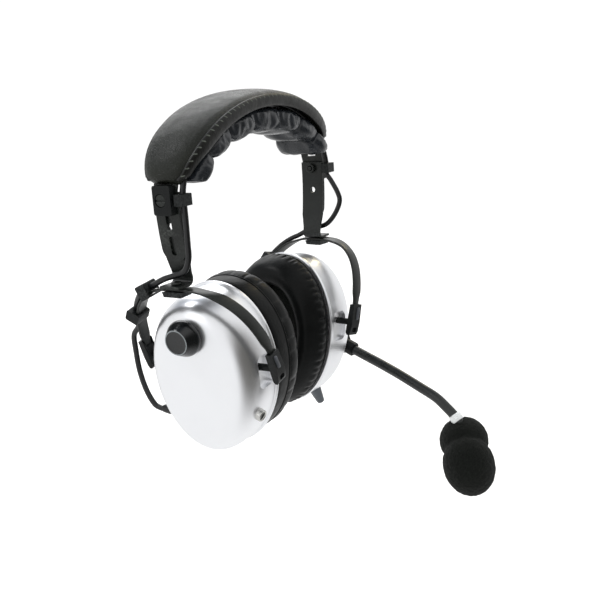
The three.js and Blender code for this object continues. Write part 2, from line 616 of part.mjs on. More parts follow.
function potentiometer() {
  const body = [[potFace - 5, 0], [potFace - 5, 6], [potFace, 6], [potFace, 2.2], [potFace - 3, 2.2], [potFace - 3, 0]];
  return turnedAt(body, [0, KNOB.y, KNOB.z], 16);
}

function volumeKnob() {
  const seat = faceX + 0.6;
  const { base, face, height } = KNOB;
  const profile = [[potFace - 2.6, 0], [potFace - 2.6, 1.8], [seat, 1.8], [seat, base - 0.6], [seat + 2, base],
    [seat + 3, base - 0.3], [seat + height - 1, face + 0.3], [seat + height, face - 0.4],
    [seat + height - 0.7, face - 1.2], [seat + height - 0.7, 0]];
  return turnedAt(profile, [0, KNOB.y, KNOB.z], 24);
}

// ---- microphone boom, on the wearer's left cup ----
const hubX = faceX + 1.2;
const hubBore = () => turnedAt(rod(faceX - 12, faceX + 5, 3.4), [0, BOOM_HUB.y, BOOM_HUB.z], 12);

function boomBracket() {
  const profile = [[faceX - 9, 0], [faceX - 9, 3], [hubX - 0.6, 3], [hubX - 0.6, 8], [hubX + 1.4, 8], [hubX + 1.4, 0]];
  return turnedAt(profile, [0, BOOM_HUB.y, BOOM_HUB.z], 20);
}

const boomRoute = [[-20, -23.7], [-30.5, -27.2], [-46.1, -32.2], [-61.2, -37.5], [-75.9, -43.3], [-86.6, -47.7],
  [-94.5, -53.1], [-100.3, -57.8], [-104, -62.4], [-106, -68.5]].map(([y, z]) => [BOOM_X, y, z]);
const boomCurve = new THREE.CatmullRomCurve3(boomRoute.map((p) => new THREE.Vector3(...p)));
const MIC_AIM = [0, -0.266, -0.964];
const micFrame = frameAlong(boomRoute.at(-1), MIC_AIM);
const MIC = { radius: 5.6, length: 24 };
const SLEEVE = { at: 0.872, length: 4.6, inner: BOOM_RADIUS + 0.5, outer: BOOM_RADIUS + 1.3 };
const sleeveMiddle = boomCurve.getPointAt(SLEEVE.at).toArray();
const sleeveFrame = frameAlong(sleeveMiddle, boomCurve.getTangentAt(SLEEVE.at).toArray());

function boomHub() {
  const { y, z, radius } = BOOM_HUB;
  const [back, front] = [hubX + 1.7, BOOM_X + BOOM_RADIUS + 1.2];
  const face = [[back, 0], [back, radius], [front - 1.6, radius], [front, radius - 2], [front, 0]];
  const disc = turnedAt(face, [0, y, z], 24);
  const collar = tube([[BOOM_X, y - 3, z + 0.3], [BOOM_X, -20, -23.7], [BOOM_X, -25.5, -25.5]], BOOM_RADIUS + 1.7, 2, 10);
  const bore = tube([[BOOM_X, -19.4, -23.5], ...boomRoute.slice(0, 3)], BOOM_RADIUS + 0.5, 5, 10);
  return cut(join(disc, collar), bore);
}

const boomTube = () => tube(boomRoute, BOOM_RADIUS, 26, 8);

function boomSleeve() {
  const { inner, outer } = SLEEVE;
  const half = SLEEVE.length / 2;
  return turned([[-half, inner], [-half, outer], [half, outer], [half, inner], [-half, inner]], 16)
    .applyMatrix4(sleeveFrame);
}

function micHousing() {
  const { radius, length } = MIC;
  const profile = [[GAP, 0], [GAP, 4], [3, radius], [length, radius], [length, 0]];
  return turned(profile, 16).applyMatrix4(micFrame);
}

// a soft egg, its middle set off from the point reached along the microphone
function lobe({ along, offset, radius, halfLength }) {
  const ball = new THREE.SphereGeometry(1, 20, 12).rotateZ(-Math.PI / 2).scale(halfLength, radius, radius);
  ball.translate(along, 0, 0).applyMatrix4(micFrame);
  return ball.translate(...offset);
}

const REAR_LOBE = { along: 4.2, offset: [3.8, 2.4, -0.8], radius: 15, halfLength: 14.6 };
const FRONT_LOBE = { along: 17.6, offset: [-6, -2.6, 0.8], radius: 15.7, halfLength: 18.6 };

// two soft lobes grown together, hollow for the microphone
function micMuff() {
  const hollow = turned(rod(0, MIC.length + GAP, MIC.radius + GAP), 16).applyMatrix4(micFrame);
  const mouth = tube(boomRoute.slice(2), BOOM_RADIUS + 0.5, 20, 10);
  const sleeveRoom = turned(rod(-9, SLEEVE.length / 2 + GAP, SLEEVE.outer + GAP), 16).applyMatrix4(sleeveFrame);
  return cut(join(lobe(REAR_LOBE), lobe(FRONT_LOBE)), hollow, mouth, sleeveRoom);
}

// ---- everything in its place ----
add('headband_band', headbandBand(), blackSteel);
add('head_pad_cover', padCover(), leather);
add('head_pad_cushion', padCushion(), vinyl);
add('lead_through_pad', leadPadRun(), rubber);

for (const side of [1, -1]) {
  const place = (piece, geometry, material, frame = new THREE.Matrix4()) => {
    add(`${SIDES[side]}_${piece}`, onSide(geometry.applyMatrix4(frame), side), material);
  };
  place('arm_strap', armStrap(), blackSteel);
  place('adjuster_block', adjusterBlock(), blackPlastic);
  place('clamp_screw', clampScrew(), blackSteel);
  place('clamp_nut', clampNut(), blackSteel);
  place('arm_lead_clip', armLeadClip(), blackPlastic);
  place('arm_lead', armLead(side), rubber);

  const yoke = yokeFrame[side];
  place('yoke_strap', yokeStrap(), blackSteel, yoke);
  place('yoke_front_pivot', pivotClip(-1), blackPlastic, yoke);
  place('yoke_rear_pivot', pivotClip(1), blackPlastic, yoke);
  place('swivel_rivet', swivelRivet(), blackSteel, yoke);
  place('swivel_retainer', swivelRetainer(), blackPlastic, yoke);
  place('yoke_lead', yokeLead(side), rubber, yoke);
  place('cup_lead', cupLead(side), rubber, yoke);
  place('yoke_lead_clip', yokeLeadClip(LEAD_LAST_CLIP[side]), blackPlastic, yoke);

  const cup = cupFrame[side];
  place('cup_shell', cupShell(side), silverPaint, cup);
  place('seal_plate', sealPlate(), blackPlastic, cup);
  place('ear_seal', earSeal(), sealVinyl, cup);
  place('ear_foam', earFoam(), foam, cup);
  place('speaker', speaker(), blackPlastic, cup);
  place('damping_foam', dampingFoam(), foam, cup);
  place('lead_gland', gland(LEAD_GLAND, leadGlandFrame), rubber, cup);
  if (side < 0) {
    place('yoke_upper_lead_clip', yokeLeadClip(22.5), blackPlastic, yoke);
    place('jack_bush', jackBush(), chrome, cup);
    place('volume_potentiometer', potentiometer(), steel, cup);
    place('volume_knob', volumeKnob(), blackPlastic, cup);
  } else {
    place('boom_bracket', boomBracket(), blackPlastic, cup);
    place('main_lead_gland', gland(MAIN_GLAND, mainGlandFrame), rubber, cup);
    add('boom_hub', boomHub().applyMatrix4(cup), blackPlastic);
    add('boom_tube', boomTube().applyMatrix4(cup), rubber);
    add('boom_sleeve', boomSleeve().applyMatrix4(cup), clearSleeve);
    add('microphone', micHousing().applyMatrix4(cup), blackPlastic);
    add('mic_muff', micMuff().applyMatrix4(cup), foam);
  }
}

export default headset;
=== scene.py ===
"""The looks of an aviation headset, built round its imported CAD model."""
import json
import math
import random

import bmesh
import bpy
import numpy as np
from mathutils import Matrix, Vector, noise

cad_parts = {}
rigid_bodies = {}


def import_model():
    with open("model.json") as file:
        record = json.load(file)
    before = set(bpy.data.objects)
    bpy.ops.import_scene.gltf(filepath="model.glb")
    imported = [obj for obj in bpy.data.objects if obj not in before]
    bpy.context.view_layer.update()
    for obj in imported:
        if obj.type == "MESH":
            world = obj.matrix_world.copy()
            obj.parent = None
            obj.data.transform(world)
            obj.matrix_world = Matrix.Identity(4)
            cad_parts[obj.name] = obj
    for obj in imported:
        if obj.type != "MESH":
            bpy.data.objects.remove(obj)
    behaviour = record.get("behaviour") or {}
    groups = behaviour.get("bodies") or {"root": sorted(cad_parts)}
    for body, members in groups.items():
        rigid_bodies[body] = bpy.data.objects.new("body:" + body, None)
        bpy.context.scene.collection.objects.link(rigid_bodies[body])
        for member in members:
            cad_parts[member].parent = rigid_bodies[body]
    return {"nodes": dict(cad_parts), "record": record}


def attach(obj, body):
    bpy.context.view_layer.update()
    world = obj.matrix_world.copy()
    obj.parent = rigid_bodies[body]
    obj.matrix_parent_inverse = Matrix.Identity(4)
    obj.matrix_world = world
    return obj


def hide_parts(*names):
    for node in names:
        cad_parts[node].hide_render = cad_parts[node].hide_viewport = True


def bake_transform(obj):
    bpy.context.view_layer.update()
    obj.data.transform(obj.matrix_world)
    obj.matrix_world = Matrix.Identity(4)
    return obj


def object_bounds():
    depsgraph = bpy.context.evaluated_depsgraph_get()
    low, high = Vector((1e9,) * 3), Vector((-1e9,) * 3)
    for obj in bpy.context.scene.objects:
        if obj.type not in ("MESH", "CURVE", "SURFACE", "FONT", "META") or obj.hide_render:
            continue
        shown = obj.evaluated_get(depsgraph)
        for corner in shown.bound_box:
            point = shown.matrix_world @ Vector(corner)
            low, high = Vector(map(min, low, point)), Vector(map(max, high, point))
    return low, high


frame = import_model()
cad_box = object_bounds()
scene = bpy.context.scene

# ---- the part's driving dimensions, in millimetres, as in the CAD ----
MM = 0.001
SIDES = {1: "left", -1: "right"}
ARC_Z = -28.0                      # height of the arms' and the pad's centre
ARM_X = 73.0
PAD_X, PAD_RISE = {-1: 81.5, 1: 79.5}, 50.0
COVER_END = {-1: 79.0, 1: 67.0}    # degrees from the crown
COVER_HALF, COVER_END_HALF, COVER_FRONT_MORE = 18.0, 9.0, 3.5
CUSHION_END = {-1: 78.5, 1: 73.5}
CUSHION_OUTER_X, CUSHION_OUTER_RISE = 71.4, 41.9
CUSHION_INNER_X, CUSHION_INNER_RISE = {-1: 62.0, 1: 60.0}, 29.2
CUSHION_HALF, CUSHION_FORWARD = 16.0, 2.2
SWIVEL_X, YOKE_TOP_Z = 73.5, -74.15
YOKE_WIDTH, YOKE_THICK, YOKE_END_ANGLE = 8.0, 1.3, 82.2
BOW_FOOT, BOW_Z, BOW_LEAN = 47.3, -128.7, 1.25
BOW_FRONT, BOW_REAR = 0.7, 0.85
YOKE_RISE = YOKE_TOP_Z - BOW_Z
PIVOT_Y, PIVOT_Z = 42.4, -121.0
CUP_X = 53.6
CUP_Y, CUP_Z, CUP_DROP, CUP_TAPER = 35.0, 48.4, 6.0, 0.07
RIM_X, CUP_DEPTH, CUP_TILT = -17.3, 31.5, 4.5
FACE_X = RIM_X + CUP_DEPTH
SEAL_BACK = RIM_X - 2.3
TOE_IN = {1: 7.0, -1: 1.8}
KNOB_Y, KNOB_Z = 0.5, 20.8
LEAD_RADIUS, BOOM_RADIUS, BOOM_X = 1.6, 3.1, 22.0


# ---- frames ----
def rot_z(degrees):
    c, s = math.cos(math.radians(degrees)), math.sin(math.radians(degrees))
    return np.array([[c, -s, 0], [s, c, 0], [0, 0, 1]])


def rot_y(degrees):
    c, s = math.cos(math.radians(degrees)), math.sin(math.radians(degrees))
    return np.array([[c, 0, s], [0, 1, 0], [-s, 0, c]])


def on_side(points, side):
    """Points drawn on the wearer's left, on that side."""
    return np.array(points, float).reshape(-1, 3) * [side, 1, 1]


def in_yoke(points, side):
    p = np.array(points, float).reshape(-1, 3) - [SWIVEL_X, 0, 0]
    return on_side(p @ rot_z(-TOE_IN[side]).T + [SWIVEL_X, 0, 0], side)


def in_cup(points, side):
    p = np.array(points, float).reshape(-1, 3)
    return in_yoke(p @ rot_y(CUP_TILT).T + [CUP_X, 0, PIVOT_Z], side)


def turned_frame(point, direction):
    """Where a piece drawn along X goes: its start, and a matrix whose rows are its axes."""
    x = np.array(direction, float)
    x /= np.linalg.norm(x)
    up = np.array([0, 0, 1.0]) if abs(x[2]) < 0.9 else np.array([0, 1.0, 0])
    y = np.cross(up, x)
    y /= np.linalg.norm(y)
    return np.array(point, float), np.array([x, y, np.cross(x, y)])


def placed(points, spot):
    return np.array(points, float).reshape(-1, 3) @ spot[1] + spot[0]


# ---- curves ----
def spline(points, per_span=8, closed=False):
    """A smooth curve through the points."""
    p = np.array(points, float)
    n = len(p)
    if closed:
        p = np.vstack([p[-1], p, p[0], p[1]])
    else:
        p = np.vstack([2 * p[0] - p[1], p, 2 * p[-1] - p[-2]])
    spans = n if closed else n - 1
    out = []
    for i in range(spans):
        a, b, c, d = p[i:i + 4]
        for t in np.arange(per_span) / per_span:
            out.append(0.5 * (2 * b + (c - a) * t + (2 * a - 5 * b + 4 * c - d) * t**2
                              + (3 * b - a - 3 * c + d) * t**3))
    if not closed:
        out.append(p[-2])
    return np.array(out)


def even(path, count):
    """The same curve with evenly spaced points."""
    step = np.r_[0, np.cumsum(np.linalg.norm(np.diff(path, axis=0), axis=1))]
    at = np.linspace(0, step[-1], count)
    return np.column_stack([np.interp(at, step, path[:, k]) for k in range(path.shape[1])])


def tangents(path):
    t = np.gradient(path, axis=0)
    return t / np.linalg.norm(t, axis=1)[:, None]


def carried(path):
    """For each point of a path, two directions square to it that don't twist."""
    t = tangents(path)
    first = np.cross(t[0], [0, 0, 1.0] if abs(t[0][2]) < 0.9 else [0, 1.0, 0])
    normals = [first / np.linalg.norm(first)]
    for i in range(1, len(path)):
        n = normals[-1] - t[i] * np.dot(normals[-1], t[i])
        normals.append(n / np.linalg.norm(n))
    n = np.array(normals)
    return n, np.cross(t, n)


def ellipse(degrees, half_width, rise):
    a = np.radians(degrees)
    return half_width * np.sin(a), ARC_Z + rise * np.cos(a)


def on_yoke(degrees, outwards=0.0):
    sine, cosine = math.sin(math.radians(degrees)), math.cos(math.radians(degrees))
    power = BOW_FRONT if sine < 0 else BOW_REAR
    return ((PIVOT_Y + outwards) * math.copysign(abs(sine)**power, sine),
            BOW_Z + (YOKE_RISE + outwards) * cosine**power)


def yoke_x(z):
    share = min(1, max(0, (z - BOW_Z) / YOKE_RISE))
    return BOW_FOOT + (SWIVEL_X - BOW_FOOT) * share**BOW_LEAN


def smooth(value, low, high):
    t = min(1, max(0, (value - low) / (high - low)))
    return t * t * (3 - 2 * t)


def side_of(degrees):
    return -1 if degrees < 0 else 1


# ---- meshes ----
def loft(rings, closed=False):
    """Points and faces of a skin over equal rings of points."""
    k, n = len(rings[0]), len(rings)
    points = np.vstack(rings)
    faces = []
    for i in range(n if closed else n - 1):
        a, b = i * k, ((i + 1) % n) * k
        for j in range(k):
            faces.append((a + j, a + (j + 1) % k, b + (j + 1) % k, b + j))
    if not closed:
        faces.append(tuple(range(k - 1, -1, -1)))
        faces.append(tuple(range((n - 1) * k, n * k)))
    return points, faces


def merged(*parts):
    """Several lots of points and faces as one."""
    points, faces, start = [], [], 0
    for p, f in parts:
        points.append(np.asarray(p, float))
        faces += [tuple(i + start for i in face) for face in f]
        start += len(p)
    return np.vstack(points), faces


def tube(path, radius, sides):
    """A round section along a path."""
    n, b = carried(path)
    angle = 2 * math.pi * np.arange(sides) / sides
    rings = [p + radius * (np.outer(np.cos(angle), u) + np.outer(np.sin(angle), v))
             for p, u, v in zip(path, n, b)]
    return loft(rings)


def lathe(profile, segments):
    """A profile of (distance along X, radius) turned round X, and closed at its two ends."""
    profile = np.array(profile, float)
    angle = 2 * math.pi * np.arange(segments) / segments
    ring = np.column_stack([np.zeros(segments), np.cos(angle), np.sin(angle)])
    rings = [ring * max(r, 1e-3) + [h, 0, 0] for h, r in profile]
    return loft(rings)


def ring_lathe(profile, segments):
    """A profile that closes on itself, turned round X into a ring."""
    angle = 2 * math.pi * np.arange(segments) / segments
    rings = [np.array([[h, r * math.cos(a), r * math.sin(a)] for h, r in profile]) for a in angle]
    return loft(rings, closed=True)


def rounded_section(half_a, half_b, radius, steps=3):
    """A rectangle with round corners, as points of (a, b)."""
    out = []
    for ca, cb, start in ((1, 1, 0), (-1, 1, 90), (-1, -1, 180), (1, -1, 270)):
        for t in np.linspace(0, 90, steps + 1):
            a = math.radians(start + t)
            out.append((ca * (half_a - radius) + radius * math.cos(a),
                        cb * (half_b - radius) + radius * math.sin(a)))
    return np.array(out)


def piece(name, shape, finish, body, stands_for=(), sharp=40.0, subdivide=0):
    """A mesh from points in millimetres, riding on a body."""
    points, faces = shape
    mesh = bpy.data.meshes.new(name)
    mesh.from_pydata([tuple(p) for p in np.asarray(points) * MM], [], faces)
    bm = bmesh.new()
    bm.from_mesh(mesh)
    bmesh.ops.remove_doubles(bm, verts=bm.verts, dist=1e-7)
    bmesh.ops.recalc_face_normals(bm, faces=bm.faces)
    bm.to_mesh(mesh)
    bm.free()
    mesh.polygons.foreach_set("use_smooth", [True] * len(mesh.polygons))
    if sharp:
        mesh.set_sharp_from_angle(angle=math.radians(sharp))
    mesh.materials.append(finish)
    o = bpy.data.objects.new(name, mesh)
    scene.collection.objects.link(o)
    if subdivide:
        m = o.modifiers.new("smooth", "SUBSURF")
        m.levels = m.render_levels = subdivide
    if body:
        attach(o, body)
    if stands_for:
        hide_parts(*stands_for)
    return o


def coordinates(mesh):
    co = np.empty(len(mesh.vertices) * 3)
    mesh.vertices.foreach_get("co", co)
    return co.reshape(-1, 3)


def normals_of(mesh):
    no = np.empty(len(mesh.vertices) * 3)
    mesh.vertices.foreach_get("normal", no)
    return no.reshape(-1, 3)


def set_coordinates(mesh, co):
    mesh.vertices.foreach_set("co", np.asarray(co, float).ravel())
    mesh.update()


SIM_SCALE = 10                     # small pads are simulated larger, where the solver is well behaved
SIM_FRAMES = 20
CLOTH_STIFFNESS = 15.0


def inflate(o, held, pressure, most, slack):
    """Swells a closed mesh as cloth over its filling.

    held has a weight for each point, and most is the furthest that a point may move, in millimetres.
    """
    start = coordinates(o.data)
    parent, o.parent = o.parent, None
    for m in o.modifiers:
        m.show_viewport = False
    set_coordinates(o.data, start * SIM_SCALE)
    group = o.vertex_groups.new(name="held")
    for i, w in enumerate(held):
        if w > 0:
            group.add([i], float(w), "REPLACE")
    cloth = o.modifiers.new("cloth", "CLOTH")
    s = cloth.settings
    s.quality = 5
    s.mass = 0.1
    s.tension_stiffness = s.compression_stiffness = CLOTH_STIFFNESS
    s.shear_stiffness = CLOTH_STIFFNESS / 2
    s.bending_stiffness = 0.2
    s.air_damping = 2
    s.use_pressure = True
    s.uniform_pressure_force = pressure
    s.effector_weights.gravity = 0
    s.vertex_group_mass = group.name
    s.shrink_min = -slack
    cloth.point_cache.frame_start, cloth.point_cache.frame_end = 1, SIM_FRAMES
    for f in range(1, SIM_FRAMES + 1):
        scene.frame_set(f)
    result = o.evaluated_get(bpy.context.evaluated_depsgraph_get())
    moved = coordinates(result.data) / SIM_SCALE - start
    scene.frame_set(1)
    o.modifiers.remove(cloth)
    for m in o.modifiers:
        m.show_viewport = True
    o.vertex_groups.clear()
    far = np.linalg.norm(moved, axis=1)
    share = np.minimum(1, most * MM / np.maximum(far, 1e-9))
    set_coordinates(o.data, start + moved * share[:, None])
    o.parent = parent


# ---- materials ----
def material(name, color, rough, metal=0.0, grain=(), blotch=0.18, blotch_scale=60.0, coat=0.0, sheen=0.0,
             worn=None, rough_swing=0.12, specular=0.5, transmission=0.0):
    """A procedural finish. grain: (kind, cells per metre, depth in mm) lots; worn: a colour for its edges."""
    m = bpy.data.materials.new(name)
    m.use_nodes = True
    tree = m.node_tree
    nodes, links = tree.nodes, tree.links
    shader = nodes["Principled BSDF"]
    where = nodes.new("ShaderNodeTexCoord").outputs["Object"]

    def noise_at(scale, detail=4.0):
        n = nodes.new("ShaderNodeTexNoise")
        n.inputs["Scale"].default_value = scale
        n.inputs["Detail"].default_value = detail
        links.new(where, n.inputs["Vector"])
        return n.outputs["Fac"]

    def mapped(value, low, high, to_low, to_high):
        n = nodes.new("ShaderNodeMapRange")
        for key, v in zip(("From Min", "From Max", "To Min", "To Max"), (low, high, to_low, to_high)):
            n.inputs[key].default_value = v
        links.new(value, n.inputs["Value"])
        return n.outputs["Result"]

    def mixed(factor, a, b):
        n = nodes.new("ShaderNodeMix")
        n.data_type = "RGBA"
        links.new(factor, n.inputs["Factor"])
        for socket, v in ((n.inputs["A"], a), (n.inputs["B"], b)):
            if isinstance(v, tuple):
                socket.default_value = (*v, 1)
            else:
                links.new(v, socket)
        return n.outputs["Result"]

    dark = tuple(c * (1 - blotch) for c in color)
    light = tuple(min(1, c * (1 + blotch)) for c in color)
    colour = mixed(mapped(noise_at(blotch_scale), 0.35, 0.65, 0, 1), dark, light)
    if worn:
        edge = nodes.new("ShaderNodeNewGeometry").outputs["Pointiness"]
        scuffs = nodes.new("ShaderNodeMath")
        scuffs.operation = "MULTIPLY"
        links.new(mapped(edge, 0.52, 0.62, 0, 1), scuffs.inputs[0])
        links.new(mapped(noise_at(900), 0.4, 0.6, 0, 0.8), scuffs.inputs[1])
        colour = mixed(scuffs.outputs["Value"], colour, worn)
    links.new(colour, shader.inputs["Base Color"])
    links.new(mapped(noise_at(blotch_scale * 3), 0.3, 0.7, rough - rough_swing / 2, rough + rough_swing / 2),
              shader.inputs["Roughness"])
    shader.inputs["Metallic"].default_value = metal
    shader.inputs["Specular IOR Level"].default_value = specular
    shader.inputs["Coat Weight"].default_value = coat
    shader.inputs["Coat Roughness"].default_value = 0.15
    shader.inputs["Sheen Weight"].default_value = sheen
    shader.inputs["Transmission Weight"].default_value = transmission
    normal = None
    for kind, scale, depth in grain:
        if kind == "noise":
            height = noise_at(scale, 6.0)
        else:
            n = nodes.new("ShaderNodeTexVoronoi")
            n.feature = "SMOOTH_F1" if kind == "cells" else "DISTANCE_TO_EDGE"
            n.inputs["Scale"].default_value = scale
            links.new(where, n.inputs["Vector"])
            height = n.outputs["Distance"]
            if kind == "cracks":
                height = mapped(height, 0, 0.12, 0, 1)
        bump = nodes.new("ShaderNodeBump")
        bump.inputs["Distance"].default_value = depth * MM
        links.new(height, bump.inputs["Height"])
        if normal:
            links.new(normal, bump.inputs["Normal"])
        normal = bump.outputs["Normal"]
    if normal:
        links.new(normal, shader.inputs["Normal"])
    return m


LOOK = {
    "silver_paint": material("satin_silver_paint", (0.83, 0.84, 0.86), 0.31, 0.92, [("noise", 70, 0.01)],
                             0.02, 25, rough_swing=0.04),
    "black_steel": material("black_painted_steel", (0.006, 0.0075, 0.0065), 0.34, 0.1,
                            [("noise", 1800, 0.03)], 0.25, 90, worn=(0.05, 0.055, 0.05), specular=0.3),
    "bare_strap": material("worn_strap_end", (0.06, 0.065, 0.075), 0.36, 0.4, [("noise", 1800, 0.03)],
                           0.25, 300),
    "black_plastic": material("moulded_black_plastic", (0.005, 0.006, 0.006), 0.4, 0, [("noise", 2200, 0.05)],
                              worn=(0.03, 0.033, 0.033), specular=0.15),
    "leather_cover": material("cover_leather", (0.0095, 0.0108, 0.0078), 0.4, 0,
                              [("cracks", 900, 0.1), ("noise", 160, 0.4)], 0.22, 45, specular=0.22),
    "cushion_vinyl": material("cushion_vinyl", (0.0115, 0.0135, 0.0165), 0.27, 0,
                              [("cells", 1100, 0.05), ("noise", 120, 0.4)], 0.15, 50, specular=0.45),
    "seal_vinyl": material("seal_vinyl", (0.005, 0.0055, 0.0055), 0.36, 0,
                           [("cells", 1200, 0.04), ("noise", 150, 0.3)], 0.2, 60, specular=0.1),
    "foam": material("open_cell_foam", (0.006, 0.007, 0.006), 0.95, 0,
                     [("cells", 1900, 0.35), ("noise", 3200, 0.3)], 0.35, 1200, sheen=0.05, specular=0.08),
    "rubber": material("smooth_rubber", (0.005, 0.0055, 0.006), 0.34, 0, [("noise", 1500, 0.04)], 0.2, 80,
                       specular=0.4),
    "boot": material("slate_rubber", (0.05, 0.058, 0.068), 0.4, 0, [("noise", 1500, 0.05)], 0.2, 80,
                     specular=0.4),
    "steel": material("plated_steel", (0.5, 0.5, 0.5), 0.3, 1.0, [("noise", 1800, 0.03)], 0.15, 200),
    "chrome": material("nickel_plate", (0.55, 0.55, 0.53), 0.2, 1.0, [("noise", 900, 0.01)], 0.05, 200,
                       rough_swing=0.06),
    "clear_sleeve": material("milky_sleeve", (0.86, 0.88, 0.88), 0.25, 0, [("noise", 700, 0.03)], 0.05, 200,
                             transmission=0.25),
    "boom_rubber": material("boom_tube_sleeve", (0.009, 0.011, 0.0105), 0.3, 0, [("noise", 1200, 0.05)],
                            0.25, 70),
    "knob": material("gloss_black_plastic", (0.004, 0.005, 0.0055), 0.22, 0, [("noise", 1400, 0.01)],
                     0.2, 100, coat=0.25, specular=0.4),
    "knob_ring": material("knob_ring_line", (0.2, 0.22, 0.23), 0.35, 0.2, [("noise", 1400, 0.01)], 0.1, 100),
    "thread": material("stitch_thread", (0.065, 0.075, 0.06), 0.5, 0, [("noise", 3000, 0.1)], 0.3, 700),
    "binding": material("cover_edge_binding", (0.005, 0.0055, 0.0045), 0.42, 0,
                        [("cells", 1000, 0.08), ("noise", 200, 0.3)], 0.3, 60, specular=0.35),
}

# ---- CAD nodes that stay: a finish, welded facets and eased edges ----
SLOT_OF = {s["node"]: s["material_slot"] for s in frame["record"]["subparts"]}
EASED_EDGE = 0.25


def eased(node, look):
    """A CAD node keeps its shape, and its edges are rounded where it is drawn."""
    o = frame["nodes"][node]
    o.data.materials.clear()
    o.data.materials.append(LOOK[look])
    o.data.polygons.foreach_set("use_smooth", [True] * len(o.data.polygons))
    if "custom_normal" in o.data.attributes:
        o.data.attributes.remove(o.data.attributes["custom_normal"])
    weld = o.modifiers.new("weld", "WELD")
    weld.merge_threshold = 1e-5
    bevel = o.modifiers.new("edges", "BEVEL")
    bevel.width = EASED_EDGE * MM
    bevel.segments = 2
    bevel.limit_method = "ANGLE"
    bevel.angle_limit = math.radians(32)
    bevel.harden_normals = True


for node in frame["nodes"]:
    eased(node, "boot" if node == "left_main_lead_gland" else SLOT_OF[node])


# ---- head pad ----
def pad_half(degrees, across):
    """The cover's half width; it reaches further in front, where across is negative."""
    more = COVER_FRONT_MORE if across < 0 else 0
    narrowed = (degrees / COVER_END[side_of(degrees)])**4
    return more + COVER_HALF + (COVER_END_HALF - COVER_HALF) * narrowed


def pad_point(degrees, inwards, y):
    """A point of the pad, by angle from the crown, depth below the cover's top and place across."""
    wide = PAD_X[side_of(degrees)]
    at = np.array(ellipse(degrees, wide, PAD_RISE))
    a = math.radians(degrees)
    out = np.array([math.sin(a) / wide, math.cos(a) / PAD_RISE])
    out /= np.linalg.norm(out)
    x, z = at - out * inwards
    return x, y, z


def cover_thickness(degrees):
    return 4.2 + 1.9 * math.sin(math.radians(degrees))**2


def cover_angles(inset, count):
    return np.linspace(-COVER_END[-1] + inset, COVER_END[1] - inset, count)


def cover_shape():
    """The leather: crowned across, with rounded ends that tuck in."""
    rings = []
    for a in cover_angles(0, 121):
        thick = cover_thickness(a)
        left = COVER_END[side_of(a)] - abs(a)
        rounded = math.sqrt(max(0, 1 - (1 - min(1, left / 7))**2))
        tuck = 0.82 + 0.18 * rounded
        sunk = (1 - rounded) * thick * 0.8
        ring = []
        for v in np.linspace(-1, 1, 25):
            drop = 1.6 * v**2 + 1.4 * smooth(abs(v), 0.84, 1.0) - 1.7 * (1 - v**4)
            ring.append(pad_point(a, drop + sunk, v * (pad_half(a, v) - 0.9) * tuck))
        for v in np.linspace(1, -1, 13):
            ring.append(pad_point(a, thick - 0.1, v * (pad_half(a, v) - 1.6) * tuck))
        rings.append(np.array(ring))
    return loft(rings)


piece("head_pad_cover_leather", cover_shape(), LOOK["leather_cover"], "headband", ["head_pad_cover"],
      sharp=60)


def binding_shape(side):
    """The rolled edge: a tall soft welt along the cover's edge, down over the cushion's top."""
    section = rounded_section(1.5, 1.0, 0.95, 3)
    rings = []
    for a in cover_angles(1.2, 121):
        thick = cover_thickness(a)
        left = COVER_END[side_of(a)] - abs(a)
        tall = (thick + (2.2 if side < 0 else 0.4) * smooth(left, 8, 30)) / 2 * smooth(left, -2, 7)
        inset = 1.6 + 1.2 * (1 - smooth(left, 0, 5))
        rings.append(np.array([pad_point(a, 1.9 + tall - v * tall, side * (pad_half(a, side) - inset + u))
                               for u, v in section]))
    return loft(rings)


def bead(spot, length, radius):
    """A small rounded stitch."""
    h = np.linspace(-1, 1, 7)
    profile = [(length / 2 * t, radius * math.sqrt(max(0.02, 1 - t * t))) for t in h]
    points, faces = lathe(profile, 6)
    return placed(points, spot), faces


def stitches(side, pitch=4.0):
    """Whip stitches nearly sunk in the rolled edge, leaning along it."""
    path = spline([pad_point(a, 2.75, side * (pad_half(a, side) - 0.75)) for a in cover_angles(4, 61)], 8)
    line = even(path, int(np.linalg.norm(np.diff(path, axis=0), axis=1).sum() / pitch))
    parts = []
    for p, t in zip(line, tangents(line)):
        out = np.array([p[0] / PAD_X[1]**2, 0, (p[2] - ARC_Z) / PAD_RISE**2])
        out /= np.linalg.norm(out)
        across = np.array([0, side, 0])
        direction = t * 0.6 + across * 0.4 - out * 0.75
        parts.append(bead(turned_frame(p, direction), 2.6, 0.48))
    return merged(*parts)


for side, name in ((-1, "front"), (1, "rear")):
    piece(f"cover_binding_{name}", binding_shape(side), LOOK["binding"], "headband")
    piece(f"cover_stitches_{name}", stitches(side), LOOK["thread"], "headband")


MIDDLE_LOBE_END = 11.14            # degrees from the crown
CHANNELS = [*np.linspace(-CUSHION_END[-1], -MIDDLE_LOBE_END, 4),
            *np.linspace(MIDDLE_LOBE_END, CUSHION_END[1], 4)]


